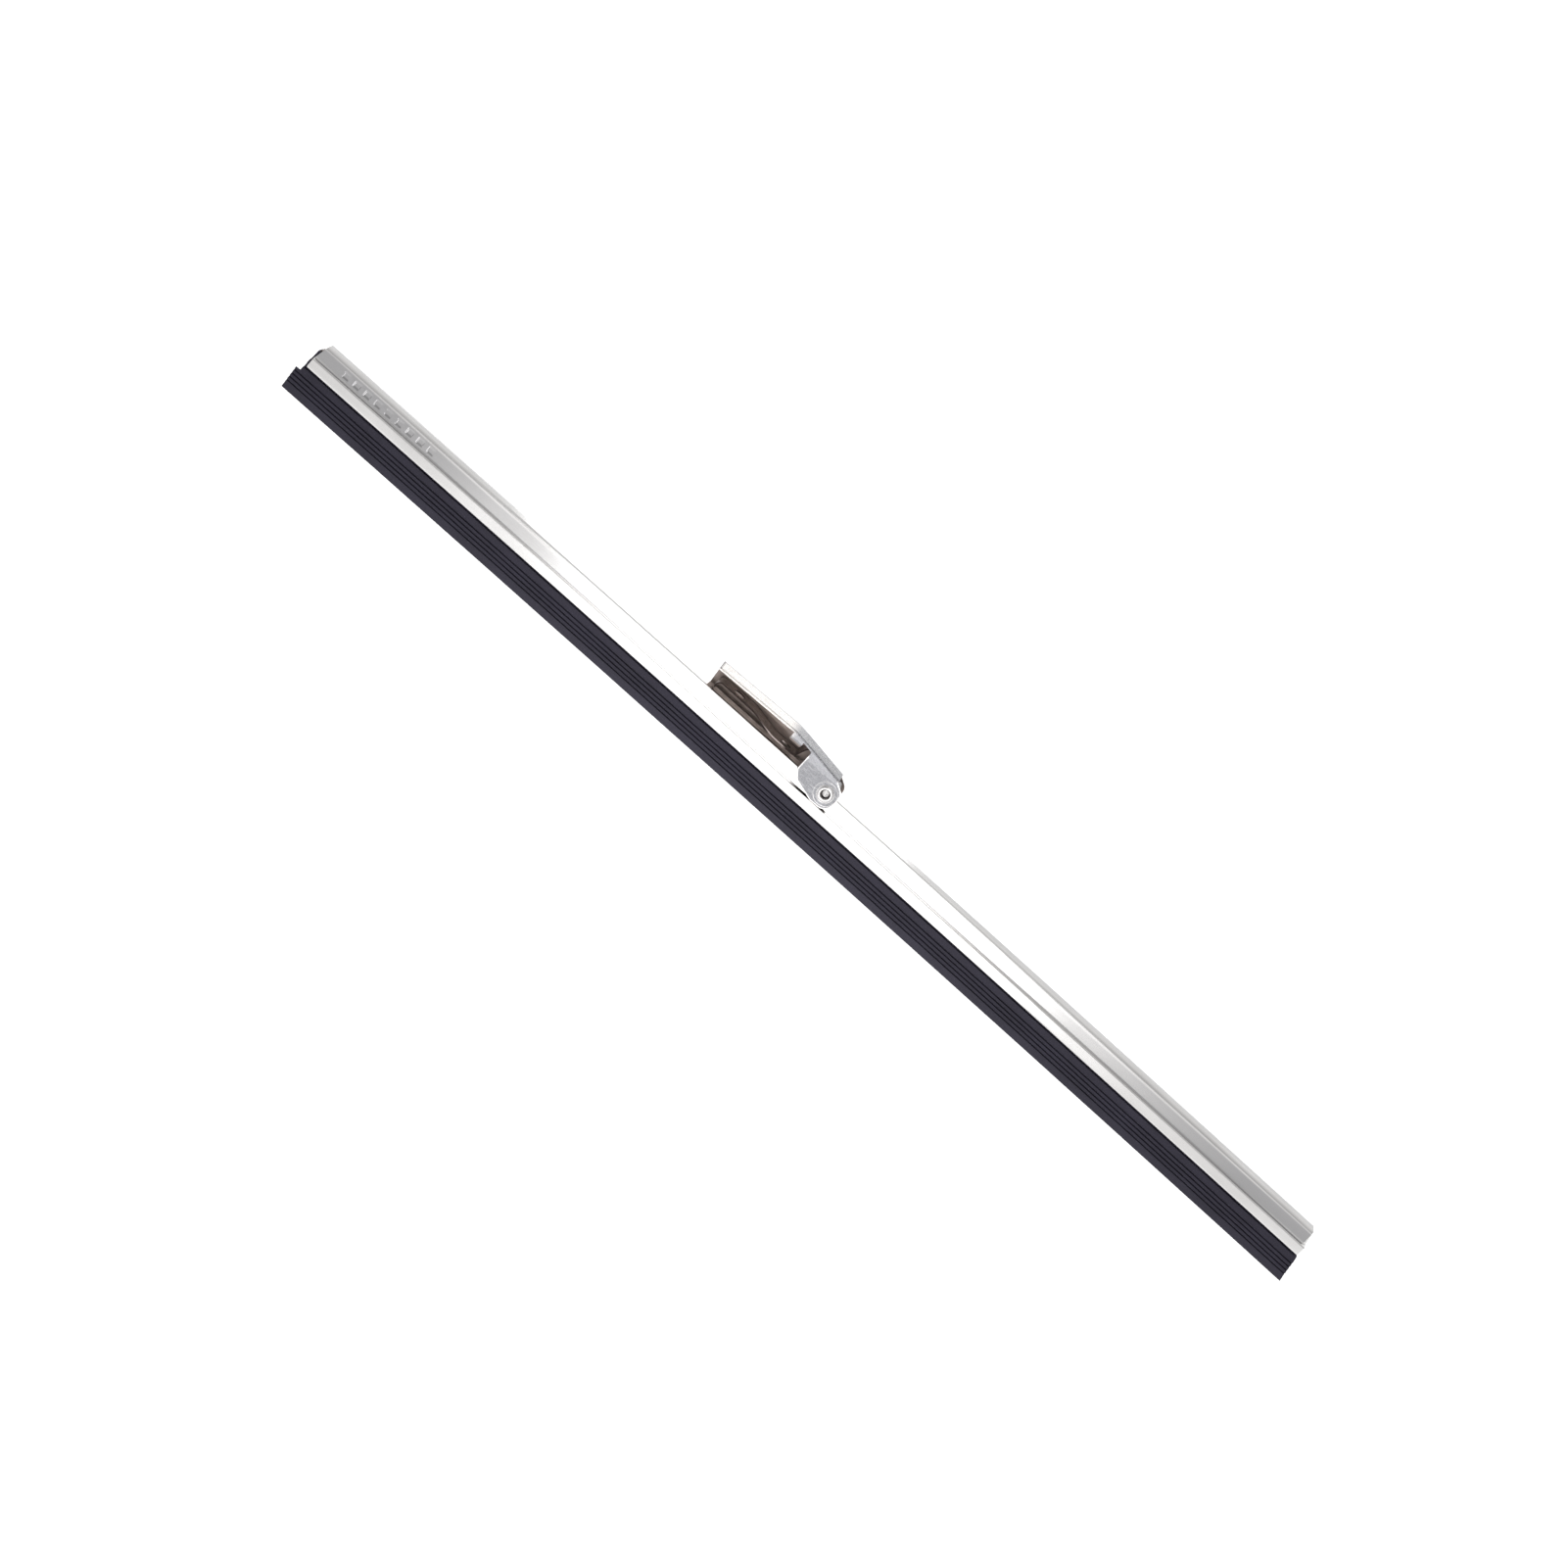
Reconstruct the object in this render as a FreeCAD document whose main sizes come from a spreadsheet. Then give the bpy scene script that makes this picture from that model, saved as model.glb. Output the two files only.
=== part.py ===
import FreeCAD, Part
import math
import os

import Sketcher

# A windscreen wiper blade for a flat screen, with a bayonet clip. X runs along the blade, Y across it and
# Z from the wiping lip up to the clip. The origin is under the pivot, level with the ends of the lip.
# Heights in the sheet are taken at the middle of the blade, where its slight bow lifts it most, except
# those of the cuts at the ends.
SIZES = {
    # The bow and the lengths
    "mid_lift": 0.5,
    "lip_half_length": 140.6,
    "flange_half_length": 138.8,
    "band_half_length": 138.0,
    "strip_right_length": 136.5,
    "lip_right_end": 141.0,
    "shoulder_right_end": 139.2,
    "head_stand_out": 0.7,
    "end_notch_floor": 10.0,
    "left_step": 5.9,
    "head_right_end": 137.6,
    # Backing channel: a deep flange, a sloping ledge and a narrow upper band
    "channel_sheet": 0.5,
    "flange_half_width": 3.2,
    "flange_foot": 7.85,
    "foot_gap_half": 2.15,
    "ledge_low": 10.2,
    "ledge_high": 10.5,
    "ledge_drop": 0.45,
    "band_half_width": 2.3,
    "band_top": 13.85,
    "band_corner": 0.6,
    "flange_corner": 0.4,
    "crease": 0.12,
    "notch_half_length": 1.5,
    "notch_floor": 12.35,
    # Stamped bars near one end of the channel
    "bar_first": -132.0,
    "bar_spacing": 2.9,
    "bar_count": 9,
    "bar_length": 1.5,
    "bar_low": 11.25,
    "bar_high": 12.45,
    "bar_depth": 0.12,
    # Squeegee rubber: head, neck, shoulder, ribs and lip
    "head_top": 11.9,
    "head_half_width": 1.7,
    "head_step": 9.9,
    "bulb_half_width": 2.6,
    "bulb_top": 9.4,
    "bulb_bottom": 8.4,
    "neck_half_width": 1.95,
    "shoulder_top": 7.25,
    "shoulder_half_width": 2.4,
    "shoulder_bottom": 5.8,
    "groove_pitch": 1.0,
    "groove_half_gap": 0.22,
    "groove_depth": 0.5,
    "rib_taper": 0.36,
    "lip_top_half_width": 0.98,
    "lip_tip_half_width": 0.4,
    # Backing strip on the rubber head, and the stop in the channel's right-hand end
    "strip_thickness": 0.4,
    "strip_half_width": 1.5,
    "stop_thickness": 0.4,
    "stop_half_width": 1.74,
    "stop_height": 2.8,
    "stop_foot_x": 138.2,
    "stop_foot": 9.95,
    "stop_lean_deg": 9.0,
    # Pivot saddle
    "pivot_height": 13.6,
    "saddle_sheet": 0.45,
    "saddle_foot": 11.5,
    "saddle_foot_half_length": 2.3,
    "saddle_top": 16.4,
    "saddle_top_half_length": 1.4,
    "saddle_shoulder": 14.4,
    "saddle_shoulder_half_length": 2.5,
    "saddle_fold": 0.4,
    "saddle_hole_radius": 1.15,
    # Hollow rivet
    "shank_radius": 1.1,
    "bore_radius": 0.72,
    "mouth_radius": 1.12,
    "rivet_head_radius": 1.66,
    "rivet_head_height": 0.42,
    "rivet_round": 0.2,
    # Clip body: one folded sheet
    "clip_sheet": 0.5,
    "clip_half_width": 3.4,
    "clip_fold": 0.45,
    "mouth_x": -33.9,
    "mouth_foot_x": -33.25,
    "mouth_top": 18.85,
    "bend_x": -13.4,
    "bend_top": 19.57,
    "slope_x": -10.6,
    "slope_top": 19.25,
    "plate_end_x": 0.35,
    "plate_end_top": 17.67,
    "wall_foot": 12.2,
    "tab_left_x": -13.45,
    "tab_right_x": -10.5,
    "tab_foot": 17.15,
    "ear_left_x": -7.95,
    "ear_right_x": 2.85,
    "ear_foot": 10.42,
    "ear_heel_x": -6.5,
    "ear_heel": 11.85,
    "ear_toe_x": -1.6,
    "margin": 6.0,
    # Leaf spring in the clip
    "leaf_thickness": 0.3,
    "leaf_width": 5.2,
    "leaf_tip_x": -32.05,
    "leaf_tip": 14.6,
    "leaf_nose_x": -32.9,
    "leaf_crest": 16.3,
    "leaf_crest_end_x": -22.6,
    "leaf_low": 15.0,
    "leaf_low_x": -16.4,
    "leaf_cut_x": -11.3,
    "leaf_heel_x": -10.3,
    "leaf_pad_x": -8.9,
    "leaf_pad_end_x": -3.0,
    "leaf_nose_radius": 1.1,
    "leaf_bend_radius": 7.0,
    "leaf_heel_radius": 0.9,
    "latch_hole_x": -27.0,
    "latch_hole_radius": 1.4,
    "slot_half_length": 1.25,
    "slot_centre_x": -12.9,
    "slot_near": -1.9,
    "slot_far": 0.6,
}

RIB_COUNT = 3


class Size:
    """A length with its value and the sheet expression that it is worked out from."""

    def __init__(self, value, text):
        self.value = float(value)
        self.text = text

    def __add__(self, other):
        other = as_size(other)
        return Size(self.value + other.value, f"({self.text} + {other.text})")

    def __sub__(self, other):
        other = as_size(other)
        return Size(self.value - other.value, f"({self.text} - {other.text})")

    def __mul__(self, other):
        other = as_size(other)
        return Size(self.value * other.value, f"({self.text} * {other.text})")

    def __truediv__(self, other):
        other = as_size(other)
        return Size(self.value / other.value, f"({self.text} / {other.text})")

    def __neg__(self):
        return Size(-self.value, f"(0 - {self.text})")


def as_size(value):
    return value if isinstance(value, Size) else Size(value, repr(float(value)))


def make_sheet(doc):
    """The spreadsheet, one named cell for each driving dimension."""
    sheet = doc.addObject("Spreadsheet::Sheet", "Sizes")
    for row, (name, value) in enumerate(SIZES.items(), start=1):
        sheet.set(f"A{row}", name)
        sheet.set(f"B{row}", str(value))
        sheet.setAlias(f"B{row}", name)
    doc.recompute()


def cell(name):
    return Size(SIZES[name], f"Sizes.{name}")


def origin_plane(body, role):
    for feature in body.Origin.OriginFeatures:
        if feature.Role == role:
            return feature
    raise ValueError(f"no origin plane called {role}")


def make_body(doc, label):
    body = doc.addObject("PartDesign::Body", label)
    body.Label = label
    body.Placement = FreeCAD.Placement()
    return body


def make_sketch(body, name, role):
    sketch = body.newObject("Sketcher::SketchObject", name)
    sketch.AttachmentSupport = [(origin_plane(body, role), "")]
    sketch.MapMode = "FlatFace"
    return sketch


def rounding(before, corner, after, radius):
    """Start, middle and end of the arc that rounds a corner, and its centre."""
    back = (before - corner).normalize()
    ahead = (after - corner).normalize()
    half_angle = back.getAngle(ahead) / 2
    reach = radius / math.tan(half_angle)
    inward = (back + ahead).normalize()
    centre = corner + inward * (radius / math.sin(half_angle))
    return corner + back * reach, centre - inward * radius, corner + ahead * reach


def draw_path(sketch, corners, closed=True):
    """Lines through the corners, each (across, up) or (across, up, radius), held by the sheet's cells."""
    count = len(corners)
    points = [FreeCAD.Vector(as_size(c[0]).value, as_size(c[1]).value, 0) for c in corners]
    radii = [as_size(c[2]) if len(c) > 2 else None for c in corners]
    rounds = {}
    for i in range(count):
        if radii[i]:
            before, after = points[i - 1], points[(i + 1) % count]
            rounds[i] = rounding(before, points[i], after, radii[i].value)
    sides = count if closed else count - 1
    lines = []
    for i in range(sides):
        start = rounds[i][2] if i in rounds else points[i]
        end_index = (i + 1) % count
        end = rounds[end_index][0] if end_index in rounds else points[end_index]
        lines.append(sketch.addGeometry(Part.LineSegment(start, end), False))
    rules = []
    bound = []
    for i in range(count):
        line_in = lines[i - 1] if closed or i > 0 else None
        line_out = lines[i] if i < len(lines) else None
        if i in rounds:
            arc = Part.Arc(*rounds[i])
            arc_id = sketch.addGeometry(arc, False)
            mark = sketch.addGeometry(Part.Point(points[i]), True)
            turn_left = (rounds[i][1] - rounds[i][0]).cross(rounds[i][2] - rounds[i][0]).z > 0
            first, last = (1, 2) if turn_left else (2, 1)
            rules.append(Sketcher.Constraint("Tangent", line_in, 2, arc_id, first))
            rules.append(Sketcher.Constraint("Tangent", arc_id, last, line_out, 1))
            rules.append(Sketcher.Constraint("PointOnObject", mark, 1, line_in))
            rules.append(Sketcher.Constraint("PointOnObject", mark, 1, line_out))
            bound.append(("Radius", (arc_id,), radii[i]))
            where = (mark, 1)
        elif line_in is None:
            where = (line_out, 1)
        elif line_out is None:
            where = (line_in, 2)
        else:
            rules.append(Sketcher.Constraint("Coincident", line_in, 2, line_out, 1))
            where = (line_out, 1)
        bound.append(("DistanceX", (-1, 1) + where, as_size(corners[i][0])))
        bound.append(("DistanceY", (-1, 1) + where, as_size(corners[i][1])))
    first_bound = len(sketch.Constraints) + len(rules)
    for kind, what, size in bound:
        rules.append(Sketcher.Constraint(kind, *what, size.value))
    sketch.addConstraint(rules)
    for offset, (kind, what, size) in enumerate(bound):
        if "Sizes." in size.text:
            sketch.setExpression(f"Constraints[{first_bound + offset}]", size.text)


def mirrored(half):
    """A closed outline from the half of it on the +Y side, listed from its foot round to its top."""
    return half + [(-c[0],) + tuple(c[1:]) for c in reversed(half)]


def add_pad(body, name, sketch, length):
    """A pad of the given length, half of it on each side of the sketch."""
    pad = body.newObject("PartDesign::Pad", name)
    pad.Profile = sketch
    pad.Midplane = True
    pad.setExpression("Length", length.text)
    return pad


def add_cut(body, name, sketch, depth=None, midplane=False, reverse=False):
    """A pocket, through everything both ways unless it has a depth. It has to take material away."""
    body.Document.recompute()
    before = body.Shape.Volume
    cut = body.newObject("PartDesign::Pocket", name)
    cut.Profile = sketch
    cut.Midplane = midplane or depth is None
    cut.Reversed = reverse
    if depth is None:
        cut.Type = "ThroughAll"
    else:
        cut.setExpression("Length", depth.text)
    body.Document.recompute()
    if body.Shape.Volume >= before:
        raise ValueError(f"{name} cuts nothing")
    return cut


def draw_axis(sketch, height):
    """A construction line along the sketch's first direction, and the name that a turn knows it by."""
    start, end = FreeCAD.Vector(-1, height.value, 0), FreeCAD.Vector(1, height.value, 0)
    axis = sketch.addGeometry(Part.LineSegment(start, end), True)
    sketch.addConstraint(Sketcher.Constraint("Horizontal", axis))
    sketch.addConstraint(Sketcher.Constraint("DistanceX", -1, 1, axis, 1, -1.0))
    sketch.addConstraint(Sketcher.Constraint("DistanceX", -1, 1, axis, 2, 1.0))
    rule = sketch.addConstraint(Sketcher.Constraint("DistanceY", -1, 1, axis, 1, height.value))
    sketch.setExpression(f"Constraints[{rule}]", height.text)
    return "Axis0"


def bow_radius():
    """The radius of the lip's bow, from its length and its lift at the middle."""
    half, lift = cell("lip_half_length"), cell("mid_lift")
    return (half * half + lift * lift) / (lift * 2)


def bowed(body, name, outline, left_length, right_length):
    """A section swept along the bow, which is a slight turn about a far axis that runs along Y."""
    sketch = make_sketch(body, name + "Section", "YZ_Plane")
    draw_path(sketch, outline)
    axis = draw_axis(sketch, cell("mid_lift") - bow_radius())
    sweep = body.newObject("PartDesign::Revolution", name + "Sweep")
    sweep.Profile = sketch
    sweep.ReferenceAxis = (sketch, [axis])
    sweep.Type = "TwoAngles"
    sweep.setExpression("Angle", f"asin(({right_length.text}) / {bow_radius().text})")
    sweep.setExpression("Angle2", f"asin(({left_length.text}) / {bow_radius().text})")
    return sweep


def section_of_channel():
    sheet = cell("channel_sheet")
    flange, band = cell("flange_half_width"), cell("band_half_width")
    foot, top = cell("flange_foot"), cell("band_top")
    drop, crease = cell("ledge_drop"), cell("crease")
    outer = [
        (cell("foot_gap_half"), foot),
        (flange, foot, cell("flange_corner")),
        (flange, cell("ledge_low"), cell("flange_corner")),
        (band, cell("ledge_high"), crease),
        (band, top, cell("band_corner")),
    ]
    inner = [
        (band - sheet, top - sheet, crease),
        (band - sheet, cell("ledge_high") - drop, crease),
        (flange - sheet, cell("ledge_low") - drop, crease),
        (flange - sheet, foot + sheet, crease),
        (cell("foot_gap_half"), foot + sheet),
    ]
    outer_far_side = [(-c[0],) + tuple(c[1:]) for c in reversed(outer)]
    inner_far_side = [(-c[0],) + tuple(c[1:]) for c in reversed(inner)]
    return outer + outer_far_side + inner_far_side + inner


def make_channel(doc):
    """The folded stainless channel, with its ends trimmed back, a notch for the rivet and stamped bars."""
    body = make_body(doc, "backing_channel")
    bowed(body, "Channel", section_of_channel(), cell("flange_half_length"), cell("flange_half_length"))
    margin, floor = cell("margin"), cell("end_notch_floor")
    for name, side, foot in (("RightEnd", 1.0, "band_half_length"), ("LeftEnd", -1.0, "flange_half_length")):
        trim = make_sketch(body, name, "XZ_Plane")
        draw_path(
            trim,
            [
                (cell(foot) * side, floor),
                (cell("band_half_length") * side, cell("band_top")),
                (cell("band_half_length") * side, cell("band_top") + margin),
                ((cell("flange_half_length") + margin) * side, cell("band_top") + margin),
                ((cell("flange_half_length") + margin) * side, floor),
            ],
        )
        add_cut(body, name + "Cut", trim)
    notch = make_sketch(body, "RivetNotch", "XZ_Plane")
    half, notch_floor = cell("notch_half_length"), cell("notch_floor")
    draw_path(
        notch,
        [
            (-half, notch_floor, 0.5),
            (half, notch_floor, 0.5),
            (half, cell("band_top") + 1.0),
            (-half, cell("band_top") + 1.0),
        ],
    )
    add_cut(body, "RivetNotchCut", notch)
    add_bars(body)
    return body


def add_bars(body):
    """A row of shallow bars pressed into the near face of the upper band."""
    bar = make_sketch(body, "Bar", "XZ_Plane")
    left, right = cell("bar_first"), cell("bar_first") + cell("bar_length")
    draw_path(
        bar,
        [
            (left, cell("bar_low"), 0.3),
            (right, cell("bar_low"), 0.3),
            (right, cell("bar_high"), 0.3),
            (left, cell("bar_high"), 0.3),
        ],
    )
    bar.setExpression("AttachmentOffset.Base.z", cell("band_half_width").text)
    cut = add_cut(body, "BarCut", bar, depth=cell("bar_depth"))
    row = body.newObject("PartDesign::LinearPattern", "BarRow")
    row.Originals = [cut]
    row.Direction = (bar, ["H_Axis"])
    row.setExpression("Length", (cell("bar_spacing") * (cell("bar_count") - 1.0)).text)
    row.setExpression("Occurrences", cell("bar_count").text)
    body.Tip = row


def section_of_lip():
    """The rubber below the channel: a shoulder, ribs that narrow downwards and the wiping lip."""
    pitch, gap = cell("groove_pitch"), cell("groove_half_gap")
    last_groove = cell("shoulder_bottom") - gap - pitch * float(RIB_COUNT)
    half = [
        (cell("lip_tip_half_width"), cell("mid_lift")),
        (cell("lip_top_half_width"), last_groove - gap),
    ]
    for rib in range(RIB_COUNT, -1, -1):
        groove = cell("shoulder_bottom") - gap - pitch * float(rib)
        outer = cell("shoulder_half_width") - cell("rib_taper") * float(rib)
        half.append((outer - cell("groove_depth") - cell("rib_taper") * 0.5, groove))
        half.append((outer, groove + gap))
        if rib:
            half.append((outer + 0.05, groove + pitch - gap))
    half.append((cell("shoulder_half_width"), cell("shoulder_top"), 0.25))
    return mirrored(half)


def section_of_head():
    """The rubber inside the channel: a neck through the foot gap, a bulb and a narrower head."""
    half = [
        (cell("neck_half_width"), cell("shoulder_top")),
        (cell("neck_half_width"), cell("bulb_bottom")),
        (cell("bulb_half_width"), cell("bulb_bottom"), 0.25),
        (cell("bulb_half_width"), cell("bulb_top"), 0.2),
        (cell("head_half_width"), cell("head_step")),
        (cell("head_half_width"), cell("head_top"), 0.3),
    ]
    return mirrored(half)


def make_rubber(doc):
    """One moulding. The lip stands out further than the head at both ends and is cut aslant on the right."""
    body = make_body(doc, "squeegee_rubber")
    shoulder, far = cell("shoulder_top"), cell("lip_right_end") + cell("margin")
    bowed(body, "Lip", section_of_lip(), cell("lip_half_length"), cell("lip_right_end") + 1.0)
    slant = make_sketch(body, "RightEnd", "XZ_Plane")
    draw_path(
        slant,
        [
            (cell("lip_right_end"), -cell("mid_lift")),
            (cell("shoulder_right_end"), shoulder),
            (cell("shoulder_right_end"), shoulder + 2.0),
            (far, shoulder + 2.0),
            (far, -cell("mid_lift")),
        ],
    )
    add_cut(body, "RightEndCut", slant, depth=cell("margin") * 2.0, midplane=True)
    head_left_end, step = cell("flange_half_length") + cell("head_stand_out"), cell("left_step")
    set_back = make_sketch(body, "LeftStep", "XZ_Plane")
    draw_path(
        set_back,
        [
            (-head_left_end, step),
            (-head_left_end, shoulder + 2.0),
            (-far, shoulder + 2.0),
            (-far, step),
        ],
    )
    add_cut(body, "LeftStepCut", set_back, depth=cell("margin") * 2.0, midplane=True)
    bowed(body, "Head", section_of_head(), head_left_end, cell("head_right_end"))
    return body


def make_backing_strip(doc):
    """The spring steel strip that lies on the rubber head."""
    body = make_body(doc, "backing_strip")
    foot, half = cell("head_top"), cell("strip_half_width")
    top = foot + cell("strip_thickness")
    outline = mirrored([(half, foot), (half, top, 0.12)])
    bowed(body, "Strip", outline, cell("flange_half_length"), cell("strip_right_length"))
    return body


def make_end_stop(doc):
    """The leaning plate that closes the upper band at the right-hand end."""
    stop = doc.addObject("Part::Box", "end_stop")
    stop.Label = "end_stop"
    stop.setExpression("Length", cell("stop_thickness").text)
    stop.setExpression("Width", (cell("stop_half_width") * 2.0).text)
    stop.setExpression("Height", cell("stop_height").text)
    place = FreeCAD.Vector(SIZES["stop_foot_x"], -SIZES["stop_half_width"], SIZES["stop_foot"])
    stop.Placement = FreeCAD.Placement(
        place, FreeCAD.Rotation(FreeCAD.Vector(0, 1, 0), -SIZES["stop_lean_deg"])
    )
    return stop


def make_saddle(doc):
    """An inverted U over the upper band. Its two lugs carry the rivet and its top clears the channel."""
    body = make_body(doc, "pivot_saddle")
    outer = cell("band_half_width") + cell("saddle_sheet")
    side = make_sketch(body, "Side", "XZ_Plane")
    foot_half, top_half = cell("saddle_foot_half_length"), cell("saddle_top_half_length")
    shoulder, shoulder_half = cell("saddle_shoulder"), cell("saddle_shoulder_half_length")
    draw_path(
        side,
        mirrored(
            [
                (foot_half, cell("saddle_foot"), 0.8),
                (shoulder_half, shoulder, 1.2),
                (top_half, cell("saddle_top"), 0.9),
            ]
        ),
    )
    add_pad(body, "SidePad", side, outer * 2.0)
    round_edges(body, "Fold", cell("saddle_fold"), along_top_edges(outer.value, cell("saddle_top").value))
    inside = make_sketch(body, "Inside", "YZ_Plane")
    band, roof = cell("band_half_width"), cell("saddle_top") - cell("saddle_sheet")
    draw_path(
        inside,
        [
            (-band, cell("saddle_foot") - 1.0),
            (band, cell("saddle_foot") - 1.0),
            (band, roof, 0.3),
            (-band, roof, 0.3),
        ],
    )
    add_cut(body, "InsideCut", inside)
    hole = make_sketch(body, "Hole", "XZ_Plane")
    draw_circle(hole, as_size(0.0), cell("pivot_height"), cell("saddle_hole_radius"))
    add_cut(body, "HoleCut", hole)
    return body


def draw_circle(sketch, across, up, radius):
    centre = FreeCAD.Vector(across.value, up.value, 0)
    circle = sketch.addGeometry(Part.Circle(centre, FreeCAD.Vector(0, 0, 1), radius.value), False)
    rules = (
        ("Radius", (circle,), radius),
        ("DistanceX", (-1, 1, circle, 3), across),
        ("DistanceY", (-1, 1, circle, 3), up),
    )
    for kind, what, size in rules:
        index = sketch.addConstraint(Sketcher.Constraint(kind, *what, size.value))
        if "Sizes." in size.text:
            sketch.setExpression(f"Constraints[{index}]", size.text)


def along_top_edges(half_width, above):
    """Chooses the edges that run along a sheet's two outer corners, near its top."""

    def chosen(edge):
        ends = [v.Point for v in edge.Vertexes]
        flat = all(abs(abs(p.y) - half_width) < 1e-4 for p in ends)
        straight = len(ends) == 2 and (ends[1] - ends[0]).x ** 2 > 1.0
        return flat and straight and min(p.z for p in ends) > above - 0.6

    return chosen


def round_edges(body, name, radius, chosen):
    """A fillet on the body's edges that the test picks out."""
    body.Document.recompute()
    tip = body.Tip
    names = [f"Edge{i}" for i, edge in enumerate(tip.Shape.Edges, start=1) if chosen(edge)]
    if not names:
        raise ValueError(f"{name} found no edges")
    fillet = body.newObject("PartDesign::Fillet", name)
    fillet.Base = (tip, names)
    fillet.setExpression("Radius", radius.text)
    body.Tip = fillet
    return fillet


def ear_outline():
    """The ears' edge, from the right-hand end of the plate down round the rivet and back up."""
    return [
        (cell("plate_end_x"), cell("plate_end_top") - cell("clip_sheet"), 0.2),
        (cell("ear_right_x") - 0.1, cell("pivot_height") + 2.1, 1.7),
        (cell("ear_right_x"), cell("ear_foot") + 0.1, 2.5),
        (cell("ear_toe_x"), cell("ear_foot"), 1.6),
        (cell("ear_heel_x"), cell("ear_heel"), 1.4),
        (cell("ear_left_x"), cell("ear_heel") + 1.8, 1.2),
    ]


def plate_line():
    """The top plate's outer line, from the mouth to its right-hand end."""
    return [
        (cell("mouth_x"), cell("mouth_top")),
        (cell("bend_x"), cell("bend_top"), 6.0),
        (cell("slope_x"), cell("slope_top"), 6.0),
        (cell("plate_end_x"), cell("plate_end_top")),
    ]


def make_clip_body(doc):
    """The clip: a top plate, a full wall on the far side, an ear on each side and a tab on the near side."""
    body = make_body(doc, "clip_body")
    sheet, half_width, margin = cell("clip_sheet"), cell("clip_half_width"), cell("margin")
    side = make_sketch(body, "Side", "XZ_Plane")
    foot = [
        (cell("ear_left_x"), cell("wall_foot") + 1.6, 0.4),
        (cell("ear_left_x") - 1.2, cell("wall_foot"), 0.8),
        (cell("mouth_foot_x"), cell("wall_foot"), 0.6),
    ]
    draw_path(side, plate_line() + ear_outline()[:-1] + foot)
    add_pad(body, "SidePad", side, half_width * 2.0)
    round_edges(body, "Fold", cell("clip_fold"), along_top_edges(half_width.value, SIZES["plate_end_top"]))

    inside = make_sketch(body, "Inside", "XZ_Plane")
    roof = [(c[0], c[1] - sheet) + tuple(c[2:]) for c in plate_line()]
    roof[0] = (cell("mouth_x") - margin, cell("mouth_top") - sheet - 0.2)
    roof[-1] = (cell("plate_end_x") + margin, cell("plate_end_top") - sheet - 0.85)
    floor = cell("ear_foot") - margin
    draw_path(inside, roof + [(roof[-1][0], floor), (roof[0][0], floor)])
    add_cut(body, "InsideCut", inside, depth=(half_width - sheet) * 2.0, midplane=True)

    window = make_sketch(body, "NearWindow", "XZ_Plane")
    tab_left, tab_right, ear_left = cell("tab_left_x"), cell("tab_right_x"), cell("ear_left_x")
    under = cell("bend_top") - sheet
    draw_path(
        window,
        [
            (cell("mouth_x") - margin, cell("mouth_top") - sheet - 0.2),
            (tab_left, under - 0.02),
            (tab_left, cell("tab_foot"), 0.3),
            (tab_right, cell("tab_foot"), 0.3),
            (tab_right, cell("slope_top") - sheet - 0.05),
            (ear_left, cell("slope_top") - sheet - 0.5, 0.4),
            (ear_left, cell("ear_heel") + 1.8, 1.2),
            (cell("ear_heel_x"), cell("ear_heel"), 1.4),
            (cell("ear_heel_x"), floor),
            (cell("mouth_x") - margin, floor),
        ],
    )
    window.setExpression("AttachmentOffset.Base.z", half_width.text)
    add_cut(body, "NearWindowCut", window, depth=sheet)

    hole = make_sketch(body, "Hole", "XZ_Plane")
    draw_circle(hole, as_size(0.0), cell("pivot_height"), cell("shank_radius"))
    add_cut(body, "HoleCut", hole)
    return body


def make_leaf_strip(doc, label, line):
    """A strip of the latch spring, swept along its line from the cut between its two halves."""
    body = make_body(doc, label)
    path = make_sketch(body, "Path", "XZ_Plane")
    draw_path(path, [(cell("leaf_cut_x"), cell("leaf_low"))] + line, closed=False)
    section = make_sketch(body, "Section", "YZ_Plane")
    section.setExpression("AttachmentOffset.Base.y", cell("leaf_low").text)
    section.setExpression("AttachmentOffset.Base.z", cell("leaf_cut_x").text)
    half, half_width = cell("leaf_thickness") * 0.5, cell("leaf_width") * 0.5
    draw_path(section, [(-half_width, -half), (half_width, -half), (half_width, half), (-half_width, half)])
    sweep = body.newObject("PartDesign::AdditivePipe", "Sweep")
    sweep.Profile = section
    sweep.Spine = path
    sweep.Mode = "Frenet"
    return body


def make_leaf_root(doc):
    """The fixed end of the latch spring: a pad under the plate and a bend down from it."""
    fall = (cell("slope_top") - cell("plate_end_top")) / (cell("plate_end_x") - cell("slope_x"))
    under = cell("slope_top") - cell("clip_sheet") - cell("leaf_thickness") * 0.5 - 0.03
    line = [
        (cell("leaf_heel_x"), cell("leaf_low"), cell("leaf_heel_radius")),
        (cell("leaf_pad_x"), under - fall * (cell("leaf_pad_x") - cell("slope_x")), cell("leaf_heel_radius")),
        (cell("leaf_pad_end_x"), under - fall * (cell("leaf_pad_end_x") - cell("slope_x"))),
    ]
    return make_leaf_strip(doc, "leaf_root", line)


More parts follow.
